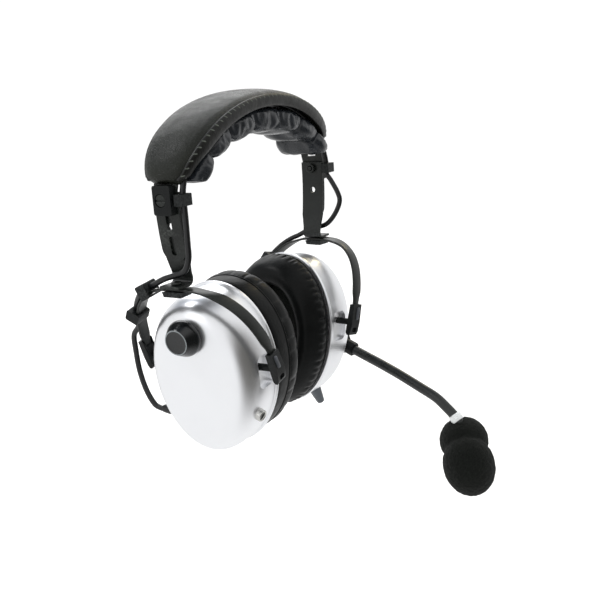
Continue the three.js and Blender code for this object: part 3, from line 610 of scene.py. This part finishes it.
def cushion_shape():
    """A row of lobes between sewn channels; returns the mesh and how firmly each point is held."""
    per, around = 16, 40
    rings, held = [], []
    for lobe_at, (start, end) in enumerate(zip(CHANNELS, CHANNELS[1:])):
        last = lobe_at == len(CHANNELS) - 2
        for i in range(per + 1 if last else per):
            s = i / per
            a = start + (end - start) * s
            side = side_of(a)
            puff = math.sin(math.pi * s)**0.5 if 0 < s < 1 else 0.0
            closing = (i == 0 and lobe_at == 0) or (i == per and last)
            outer = np.array(ellipse(a, CUSHION_OUTER_X, CUSHION_OUTER_RISE))
            inner = np.array(ellipse(a, CUSHION_INNER_X[side] - 0.7, CUSHION_INNER_RISE))
            depth = 0.55 if closing else 0.8 + 0.2 * puff
            width = (CUSHION_HALF - 0.3) * (0.7 if closing else 0.8 + 0.2 * puff)
            ring = []
            for j in range(around):
                phi = 2 * math.pi * j / around
                c = math.copysign(abs(math.cos(phi))**0.6, math.cos(phi))
                w = math.copysign(abs(math.sin(phi))**0.6, math.sin(phi))
                share = (1 - c) / 2 * depth + (0.12 * (1 - depth) if c > 0 else 0)
                x, z = outer + (inner - outer) * share
                ring.append((x, w * width - CUSHION_FORWARD, z))
                held.append(1.0 if puff == 0 else 0.85 if c > 0.6 else 0.0)
            rings.append(np.array(ring))
    return loft(rings), held


shape, held = cushion_shape()
cushion = piece("head_pad_cushion_lobes", shape, LOOK["cushion_vinyl"], "headband", ["head_pad_cushion"],
                sharp=0, subdivide=1)
inflate(cushion, held, pressure=3.0, most=2.2, slack=0.1)

# ---- cups ----
# the shell's outside, as its depth from the rim and its share of the cup's outline
CUP_OUTER = [[0, 0.93], [0, 0.99], [0.35, 1.0], [1.6, 1.0], [2.0, 0.992], [2.35, 0.972], [4, 0.968],
             [8, 0.967], [12, 0.965], [15, 0.96], [18, 0.95], [20.5, 0.935], [23, 0.911], [25, 0.88],
             [26.7, 0.845], [28.2, 0.8], [29.3, 0.745], [30.1, 0.68], [30.7, 0.59], [31.1, 0.48],
             [31.35, 0.35], [31.45, 0.2], [31.5, 0.08], [31.5, 0.0]]


def oval(angle, depth, share):
    """A point of the cup's egg outline, in the cup's frame."""
    y, z = share * math.cos(angle), share * math.sin(angle)
    return depth, y * CUP_Y * (1 + CUP_TAPER * z), z * CUP_Z - CUP_DROP


def oval_rings(profile, segments):
    angles = 2 * math.pi * np.arange(segments) / segments
    return [np.array([oval(t, d, r) for t in angles]) for d, r in profile]


def shell_shape(side):
    profile = [(RIM_X + 0.4, 0.0005)] + [(RIM_X + d, max(r, 0.0005)) for d, r in CUP_OUTER]
    points, faces = loft(oval_rings(profile, 128))
    return in_cup(points, side), faces


def pocket_shape(side, end):
    """A round-cornered plug, as deep as the pocket that the pivot's pin goes through."""
    outline = rounded_section(6.7, 9.25, 4, 5) + [-6.3, -3.25]
    rings = [np.array([(x, end * y, z) for x, z in outline]) for y in (30.5, 31.5, 34, 45)]
    points, faces = loft(rings)
    return in_cup(points, side), faces


for side, name in SIDES.items():
    dome = piece(f"{name}_cup_dome", shell_shape(side), LOOK["silver_paint"], f"{name}_cup",
                 [f"{name}_cup_shell"], sharp=0)
    for end in (-1, 1):
        plug = piece(f"{name}_plug", pocket_shape(side, end), LOOK["silver_paint"], None, sharp=0)
        cutter = dome.modifiers.new("pocket", "BOOLEAN")
        cutter.operation = "DIFFERENCE"
        cutter.object = plug
        cut_dome = dome.evaluated_get(bpy.context.evaluated_depsgraph_get())
        cut_mesh = bpy.data.meshes.new_from_object(cut_dome)
        dome.modifiers.remove(cutter)
        dome.data = cut_mesh
        bpy.data.objects.remove(plug)
    dome.data.set_sharp_from_angle(angle=math.radians(38))

# ---- knob and jack, on the wearer's right cup ----
KNOB_PROFILE = [(0.6, 0), (0.6, 9.4), (0.9, 9.9), (1.6, 10.2), (2.6, 10.2), (3.6, 9.95), (5, 9.25),
                (6.6, 8.35), (7.9, 7.6), (8.6, 7.25), (9.0, 6.9), (9.12, 6.5), (9.0, 6.15), (8.7, 5.95),
                (8.6, 5.6), (8.5, 3.5), (8.45, 0)]
KNOB_LINE = [(9.05 + 0.16 * math.cos(t), 6.62 + 0.3 * math.sin(t))
             for t in np.linspace(0, 2 * math.pi, 8, endpoint=False)]
knob_spot = (np.array([FACE_X, KNOB_Y, KNOB_Z]), np.eye(3))
points, faces = lathe(KNOB_PROFILE, 96)
piece("volume_knob_body", (in_cup(placed(points, knob_spot), -1), faces), LOOK["knob"], "volume_knob",
      ["right_volume_knob"], sharp=50, subdivide=1)
points, faces = ring_lathe(KNOB_LINE, 96)
piece("volume_knob_line", (in_cup(placed(points, knob_spot), -1), faces), LOOK["knob_ring"], "volume_knob")

JACK_RING = [(-6, 2.2), (-6, 3.4), (1.9, 3.4), (2.5, 3.3), (2.8, 3.05), (2.85, 2.8), (2.75, 2.5), (2.3, 2.25)]
# the socket's solid black face fills the ring's bore: black plastic, and painted shade where the hole's dark
# inside would be
JACK_SOCKET = [(-5.6, 0), (-5.6, 2.3), (2.1, 2.3), (2.15, 1.5), (2.15, 0)]
jack_spot = turned_frame((-1, -29, -27.3), (0.1, -0.93, -0.35))
points, faces = ring_lathe(JACK_RING, 48)
piece("jack_ring", (in_cup(placed(points, jack_spot), -1), faces), LOOK["chrome"], "right_cup",
      ["right_jack_bush"], sharp=50)
points, faces = lathe(JACK_SOCKET, 24)
piece("jack_socket", (in_cup(placed(points, jack_spot), -1), faces), LOOK["black_plastic"], "right_cup")

# ---- ear seals ----
# depth from the cup, and share of the cup's outline: full-walled on the right, and sloping on the left
SEAL_PROFILE = {
    -1: [[0, 0.955], [-1, 0.972], [-3, 0.98], [-6, 0.985], [-9, 0.985], [-11, 0.98], [-14, 0.985],
         [-17, 0.985], [-20, 0.965], [-22.4, 0.92], [-23.9, 0.85], [-24, 0.77], [-22, 0.685], [-17, 0.62],
         [-9, 0.6], [-3, 0.6], [0, 0.6], [0, 0.72], [0, 0.85]],
    1: [[0, 0.955], [-0.8, 0.975], [-2, 0.985], [-4, 0.985], [-6, 0.98], [-8, 0.97], [-10, 0.955],
        [-12.5, 0.93], [-15, 0.895], [-17.2, 0.85], [-18.6, 0.79], [-18.8, 0.72], [-17.5, 0.655],
        [-14, 0.615], [-9, 0.6], [-3, 0.6], [0, 0.6], [0, 0.72], [0, 0.85]],
}
SEAL_SKIRT = {-1: -11, 1: -3}      # the skirt keeps its shape down to this depth
SEAL_SEGMENTS = 288


def seal_shape(side, profile):
    """The ring, and how firmly each of its points is held."""
    rings, held = [], []
    for i in range(SEAL_SEGMENTS):
        t = 2 * math.pi * i / SEAL_SEGMENTS
        rings.append(np.array([oval(t, SEAL_BACK + min(d, 0), r) for d, r in profile]))
        held += [1.0 if d > -1.2 else 0.95 if r < 0.62 or d > SEAL_SKIRT[side] else 0.0 for d, r in profile]
    points, faces = loft(rings, closed=True)
    return (in_cup(points, side), faces), held


# count, depth in mm, reach of a crease, and the depths between which the wall is gathered
PLEATS = {1: (54, 1.0, 0.012, (1.5, 3.5, 6.5, 10)), -1: (24, 0.7, 0.014, (10.5, 13, 20, 23))}


def pleat(o, profile, side):
    """Gathers on the seal's outer wall: creases square to its edge, unevenly spaced."""
    count, depth, reach, band = PLEATS[side]
    draw = random.Random(7 + side)
    creases = [(2 * math.pi * (i + draw.uniform(-0.25, 0.25)) / count, draw.uniform(0.5, 1.0))
               for i in range(count)]
    co, no = coordinates(o.data), normals_of(o.data)
    shift = np.zeros(len(co))
    for i in range(SEAL_SEGMENTS):
        t = 2 * math.pi * i / SEAL_SEGMENTS
        for j, (d, r) in enumerate(profile):
            wall = smooth(-d, *band[:2]) * (1 - smooth(-d, *band[2:]))
            if r < 0.8 or not wall:
                continue
            off, strength = min((abs((t - c + math.pi) % (2 * math.pi) - math.pi), k) for c, k in creases)
            puffed = 0.3 * min(1, off * count / math.pi)
            creased = strength * math.exp(-(off / reach)**2)
            shift[i * len(profile) + j] = wall * (puffed - creased) * depth
    set_coordinates(o.data, co + no * (shift * MM)[:, None])


def welt_shape(side, depth, share, radius):
    """A thin piping round the seal."""
    centre = np.array([SEAL_BACK + depth, 0, -CUP_DROP])
    rings = []
    for t in np.linspace(0, 2 * math.pi, 160, endpoint=False):
        p = np.array(oval(t, SEAL_BACK + depth, share))
        out = (p - centre) / np.linalg.norm(p - centre)
        rings.append(np.array([p + radius * (math.cos(u) * out + math.sin(u) * np.array([1, 0, 0]))
                               for u in np.linspace(0, 2 * math.pi, 10, endpoint=False)]))
    points, faces = loft(rings, closed=True)
    return in_cup(points, side), faces


# name, depth, share of the cup's outline, radius
SEAL_WELTS = {-1: [("skirt", -10.6, 0.982, 0.5), ("face", -21.7, 0.945, 0.4)],
              1: [("skirt", -1.0, 0.978, 0.5)]}

for side, name in SIDES.items():
    profile = spline(SEAL_PROFILE[side], 2, closed=True)
    shape, held = seal_shape(side, profile)
    seal = piece(f"{name}_ear_seal_ring", shape, LOOK["seal_vinyl"], f"{name}_cup", [f"{name}_ear_seal"],
                 sharp=0, subdivide=1)
    inflate(seal, held, pressure=2.5, most=0.5, slack=0.03)
    pleat(seal, profile, side)
    for label, depth, share, radius in SEAL_WELTS[side]:
        piece(f"{name}_seal_{label}_welt", welt_shape(side, depth, share, radius), LOOK["seal_vinyl"],
              f"{name}_cup")

# ---- leads ----
LEAD_Y, LEAD_CLIP_Z, LEAD_X = -10.2, -28.0, ARM_X + 0.5
LEAD_LIFT = 2.95                   # the lead's middle stands off the yoke's by this much
PAD_LEAD_X, PAD_LEAD_RISE = 73.35, 43.85
FIRST_CLIP, LAST_CLIP = 16.9, {1: 48.0, -1: 54.0}
ARM_LEAD_MIDDLE = {
    1: [[LEAD_X, -13, -36], [LEAD_X, -17.5, -44], [LEAD_X, -18.5, -50], [LEAD_X, -14.5, -58],
        [73.8, -8, -64.5]],
    -1: [[LEAD_X, LEAD_Y, -40], [LEAD_X, -10, -50], [73.5, -9.6, -58], [73.8, -6.5, -64.5]],
}
CUP_LEAD_FREE = [[56.5, 47.4, -108], [54.5, 49.2, -118], [54, 48.6, -130], [54.5, 45, -141],
                 [55.1, 39.6, -149], [55.2, 35, -151.1], [55.2, 32.4, -151.2]]


def on_yoke_lead(degrees):
    y, z = on_yoke(degrees, LEAD_LIFT)
    return yoke_x(z), y, z


def pad_lead_route():
    inside = [(x, LEAD_Y, z)
              for x, z in (ellipse(a, PAD_LEAD_X, PAD_LEAD_RISE) for a in np.linspace(-76, 76, 15))]
    drops = [(LEAD_X, LEAD_Y, LEAD_CLIP_Z + 4), (LEAD_X, LEAD_Y, LEAD_CLIP_Z)]
    left = list(on_side(drops, 1))
    right = list(on_side(drops, -1))[::-1]
    return spline([*right, *inside, *left], 6)


def lead_piece(name, route, body, node):
    return piece(name, tube(route, LEAD_RADIUS, 14), LOOK["rubber"], body, [node])


lead_piece("lead_in_pad", pad_lead_route(), "headband", "lead_through_pad")

for side, name in SIDES.items():
    in_clip = on_side([(LEAD_X, LEAD_Y, LEAD_CLIP_Z - 0.3), (LEAD_X, LEAD_Y, LEAD_CLIP_Z - 4)], side)
    end = in_yoke([(74, 0.5, -67.2), (74, 7.5, -69.4), on_yoke_lead(FIRST_CLIP)], side)
    route = spline(np.vstack([in_clip, on_side(ARM_LEAD_MIDDLE[side], side), end]), 10)
    lead = lead_piece(f"{name}_arm_lead_tube", route, None, f"{name}_arm_lead")
    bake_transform(lead)
    clips = np.linspace(FIRST_CLIP, LAST_CLIP[side], 8)
    route = spline(in_yoke([on_yoke_lead(a) for a in clips], side), 6)
    lead_piece(f"{name}_yoke_lead_tube", route, f"{name}_yoke", f"{name}_yoke_lead")
    limb = [on_yoke_lead(a) for a in np.linspace(LAST_CLIP[side] + 0.2, 66, 3)]
    route = spline(in_yoke([*limb, *CUP_LEAD_FREE], side), 8)
    lead = lead_piece(f"{name}_cup_lead_tube", route, None, f"{name}_cup_lead")
    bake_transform(lead)


# ---- yokes ----
def yoke_shape(side):
    """A thin strap along the bow: it turns its outer edge down past the swivel, and narrows to its ends."""
    dense = np.array([(*on_yoke(a), a) for a in np.linspace(-YOKE_END_ANGLE, YOKE_END_ANGLE, 1200)])
    step = np.r_[0, np.cumsum(np.linalg.norm(np.diff(dense[:, :2], axis=0), axis=1))]
    at = np.linspace(0, step[-1], 130)
    line = np.column_stack([np.interp(at, step, dense[:, k]) for k in range(3)])
    along = tangents(line[:, :2])
    section = rounded_section(YOKE_WIDTH / 2, YOKE_THICK / 2, 0.4, 3)
    rings = []
    for (y, z, a), (ty, tz) in zip(line, along):
        turn = math.radians(12) * smooth(abs(a), 12, 32)
        width = 1 - 0.34 * smooth(abs(a), 70, 76)
        ring = []
        for u, v in section:
            py, pz = y - tz * v, z + ty * v
            ring.append((u * width * math.cos(turn) + yoke_x(pz), py, pz - u * width * math.sin(turn)))
        rings.append(np.array(ring))
    points, faces = loft(rings)
    return in_yoke(points, side), faces


for side, name in SIDES.items():
    piece(f"{name}_yoke_bow", yoke_shape(side), LOOK["black_steel"], f"{name}_yoke", [f"{name}_yoke_strap"])


def tongue_shape(side, end):
    """The end of the strap that shows in the window of a pivot clip."""
    outline = rounded_section(1.5, 3.6, 0.9, 4) + [0.9, 5.0]
    rings = []
    for lift, grow in ((-0.8, 1), (0.3, 1), (0.5, 0.86)):
        centre = outline.mean(axis=0)
        sized = centre + (outline - centre) * grow
        ring = [(yoke_x(PIVOT_Z + z) + x, end * (PIVOT_Y + 2.1 - 0.076 * z + lift), PIVOT_Z + z)
                for x, z in sized]
        rings.append(np.array(ring))
    points, faces = loft(rings)
    return in_yoke(points, side), faces


for side, name in SIDES.items():
    for end, place in ((-1, "front"), (1, "rear")):
        piece(f"{name}_{place}_pivot_tongue", tongue_shape(side, end), LOOK["bare_strap"], f"{name}_yoke",
              sharp=30)

# ---- boom ----
BOOM_ROUTE = [(BOOM_X, y, z) for y, z in (
    (-20, -23.7), (-30.5, -27.2), (-46.1, -32.2), (-61.2, -37.5), (-75.9, -43.3), (-86.6, -47.7),
    (-94.5, -53.1), (-100.3, -57.8), (-104, -62.4), (-106, -68.5))]
MIC_AIM = np.array([0, -0.266, -0.964])
SLEEVE_AT = 79                     # of the 90 points along the boom
boom_path = even(spline(BOOM_ROUTE, 8), 90)
points, faces = tube(boom_path, BOOM_RADIUS, 24)
piece("boom_tube_sleeved", (in_cup(points, 1), faces), LOOK["boom_rubber"], "boom", ["boom_tube"])


def sleeve_shape():
    i = SLEEVE_AT
    spot = turned_frame(boom_path[i], boom_path[i + 2] - boom_path[i - 2])
    outer, inner = BOOM_RADIUS + 0.9, BOOM_RADIUS + 0.15
    profile = [(-2.3, inner), (-2.3, outer - 0.3), (-1.9, outer), (1.9, outer), (2.3, outer - 0.3),
               (2.3, inner)]
    points, faces = ring_lathe(profile, 32)
    return in_cup(placed(points, spot), 1), faces


piece("boom_end_sleeve", sleeve_shape(), LOOK["clear_sleeve"], "boom", ["boom_sleeve"])


def lobe(along, offset, radius, half_length):
    centre = np.array(BOOM_ROUTE[-1], float) + MIC_AIM * along + offset
    steps = np.linspace(-1, 1, 33)
    profile = [(half_length * math.sin(t * math.pi / 2), radius * math.cos(t * math.pi / 2)) for t in steps]
    points, faces = lathe(profile, 48)
    return placed(points, turned_frame(centre, MIC_AIM)), faces


def remeshed(o, size):
    m = o.modifiers.new("voxels", "REMESH")
    m.mode = "VOXEL"
    m.voxel_size = size * MM
    result = o.evaluated_get(bpy.context.evaluated_depsgraph_get())
    mesh = bpy.data.meshes.new_from_object(result)
    o.modifiers.remove(m)
    for s in o.data.materials:
        if s.name not in [x.name for x in mesh.materials if x]:
            mesh.materials.append(s)
    o.data = mesh
    mesh.polygons.foreach_set("use_smooth", [True] * len(mesh.polygons))


def roughened(o, size, depth):
    """Small uneven pits, as in open-cell foam."""
    co, no = coordinates(o.data), normals_of(o.data)
    lift = [noise.noise(Vector(p) * (1000 / size)) for p in co]
    set_coordinates(o.data, co + no * (np.array(lift) * depth * MM)[:, None])


points, faces = merged(lobe(4.2, [3.8, 2.4, -0.8], 15, 14.6), lobe(17.6, [-6, -2.6, 0.8], 15.7, 18.6))
muff = piece("mic_muff_foam", (in_cup(points, 1), faces), LOOK["foam"], "boom", ["mic_muff"], sharp=0)
remeshed(muff, 0.9)
roughened(muff, 1.6, 0.35)

# ---- stage, light and camera ----
# The room that shiny surfaces see is white, and dimmed towards two directions: the direction, how near to it
# the dimming starts and is full, and its colour there
DIM_PARTS = (((-0.05, -0.98, -0.25), 0.42, 0.93, (0.05, 0.045, 0.035)),
             ((0.05, 0.45, 0.89), 0.6, 0.94, (0.17, 0.2, 0.25)))
FLOOR_RADIUS, FLOOR_SIDES = 30, 24
FLOOR_BELOW = 0.058                # room for the boom to swing down, in metres


def room_colour(tree, direction):
    nodes, links = tree.nodes, tree.links
    colour = None
    for towards, low, high, tint in DIM_PARTS:
        dot = nodes.new("ShaderNodeVectorMath")
        dot.operation = "DOT_PRODUCT"
        dot.inputs[1].default_value = Vector(towards).normalized()
        links.new(direction, dot.inputs[0])
        near = nodes.new("ShaderNodeMapRange")
        near.interpolation_type = "SMOOTHSTEP"
        near.inputs["From Min"].default_value = low
        near.inputs["From Max"].default_value = high
        links.new(dot.outputs["Value"], near.inputs["Value"])
        mix = nodes.new("ShaderNodeMix")
        mix.data_type = "RGBA"
        mix.inputs["A"].default_value = (1, 1, 1, 1)
        mix.inputs["B"].default_value = (*tint, 1)
        links.new(near.outputs["Result"], mix.inputs["Factor"])
        if colour is None:
            colour = mix.outputs["Result"]
            continue
        both = nodes.new("ShaderNodeMix")
        both.data_type = "RGBA"
        both.blend_type = "MULTIPLY"
        both.inputs["Factor"].default_value = 1
        links.new(colour, both.inputs["A"])
        links.new(mix.outputs["Result"], both.inputs["B"])
        colour = both.outputs["Result"]
    return colour


def floor_finish():
    """Near white; to shiny surfaces it glows as bright as the room beyond it, dim parts and all: a painted
    reflection of the room.
    """
    m = material("pale_floor", (0.95, 0.95, 0.95), 0.8, 0, [("noise", 60, 0.05)], 0.01, 4, specular=0.0)
    nodes, links = m.node_tree.nodes, m.node_tree.links
    outwards = nodes.new("ShaderNodeVectorMath")
    outwards.operation = "NORMALIZE"
    links.new(nodes.new("ShaderNodeTexCoord").outputs["Object"], outwards.inputs[0])
    # the floor glows for glossy rays only: a painted reflection of the room's white, with its dim front and
    # ceiling
    painted_reflection_glow, mix = nodes.new("ShaderNodeEmission"), nodes.new("ShaderNodeMixShader")
    links.new(room_colour(m.node_tree, outwards.outputs["Vector"]), painted_reflection_glow.inputs["Color"])
    links.new(nodes.new("ShaderNodeLightPath").outputs["Is Glossy Ray"], mix.inputs["Fac"])
    links.new(nodes["Principled BSDF"].outputs["BSDF"], mix.inputs[1])
    links.new(painted_reflection_glow.outputs["Emission"], mix.inputs[2])
    links.new(mix.outputs["Shader"], nodes["Material Output"].inputs["Surface"])
    return m


def stage():
    mesh = bpy.data.meshes.new("floor")
    low = cad_box[0].z - FLOOR_BELOW
    angles = [2 * math.pi * i / FLOOR_SIDES for i in range(FLOOR_SIDES)]
    ring = [(FLOOR_RADIUS * math.cos(t), FLOOR_RADIUS * math.sin(t), low) for t in angles]
    mesh.from_pydata(ring, [], [tuple(range(FLOOR_SIDES))])
    floor = bpy.data.objects.new("floor", mesh)
    scene.collection.objects.link(floor)
    mesh.materials.append(floor_finish())


def area_light(name, at, aim, size, power, color=(1, 1, 1)):
    data = bpy.data.lights.new(name, "AREA")
    data.shape = "RECTANGLE"
    data.size, data.size_y = size
    data.energy = power
    data.color = color
    o = bpy.data.objects.new(name, data)
    o.location = at
    o.rotation_mode = "QUATERNION"
    o.rotation_quaternion = (Vector(aim) - Vector(at)).to_track_quat("-Z", "Y")
    scene.collection.objects.link(o)


def world():
    """White to the camera and to matt surfaces; shiny ones see a room with a dim front and a dim ceiling."""
    w = bpy.data.worlds.new("studio")
    scene.world = w
    w.use_nodes = True
    nodes, links = w.node_tree.nodes, w.node_tree.links
    nodes.clear()
    out = nodes.new("ShaderNodeOutputWorld")
    direction = nodes.new("ShaderNodeTexCoord").outputs["Generated"]

    def background(strength, colour=None):
        n = nodes.new("ShaderNodeBackground")
        n.inputs["Color"].default_value = (1, 1, 1, 1)
        n.inputs["Strength"].default_value = strength
        if colour:
            links.new(colour, n.inputs["Color"])
        return n.outputs["Background"]

    path = nodes.new("ShaderNodeLightPath")
    seen, glossy = nodes.new("ShaderNodeMixShader"), nodes.new("ShaderNodeMixShader")
    links.new(path.outputs["Is Glossy Ray"], glossy.inputs["Fac"])
    links.new(background(1.1), glossy.inputs[1])
    links.new(background(1.0, room_colour(w.node_tree, direction)), glossy.inputs[2])
    links.new(path.outputs["Is Camera Ray"], seen.inputs["Fac"])
    links.new(glossy.outputs["Shader"], seen.inputs[1])
    links.new(background(1.05), seen.inputs[2])
    links.new(seen.outputs["Shader"], out.inputs["Surface"])


def camera(azimuth, elevation, roll, target, distance, lens):
    a, e, r = (math.radians(v) for v in (azimuth, elevation, roll))
    back = Vector((math.sin(a) * math.cos(e), -math.cos(a) * math.cos(e), math.sin(e)))
    right = Vector((math.cos(a), math.sin(a), 0))
    up = back.cross(right)
    right, up = right * math.cos(r) + up * math.sin(r), up * math.cos(r) - right * math.sin(r)
    data = bpy.data.cameras.new("camera")
    data.lens, data.sensor_width = lens, 36
    o = bpy.data.objects.new("camera", data)
    place = Matrix((right, up, back)).transposed().to_4x4()
    place.translation = Vector(target) + back * distance
    o.matrix_world = place
    scene.collection.objects.link(o)
    scene.camera = o


stage()
world()
area_light("top", at=(0.7, 0.62, 0.8), aim=(0, 0, -0.05), size=(1.0, 0.8), power=7)
area_light("leather", at=(-0.44, 0.65, 1.0), aim=(0, 0, -0.03), size=(0.4, 0.4), power=4.0)
area_light("key", at=(-1.2, 0.5, 0.5), aim=(0, 0, -0.1), size=(0.7, 0.7), power=1.2, color=(0.96, 0.98, 1))
area_light("warm", at=(0.75, 0.0, 0.42), aim=(-0.07, -0.01, -0.08), size=(0.14, 0.08), power=0.5,
           color=(1, 0.82, 0.45))
scene.view_settings.view_transform = "Standard"
camera(azimuth=-58.50, elevation=13.98, roll=-3.84, target=(0.02344, -0.01439, -0.10319), distance=0.50406,
       lens=49.4)
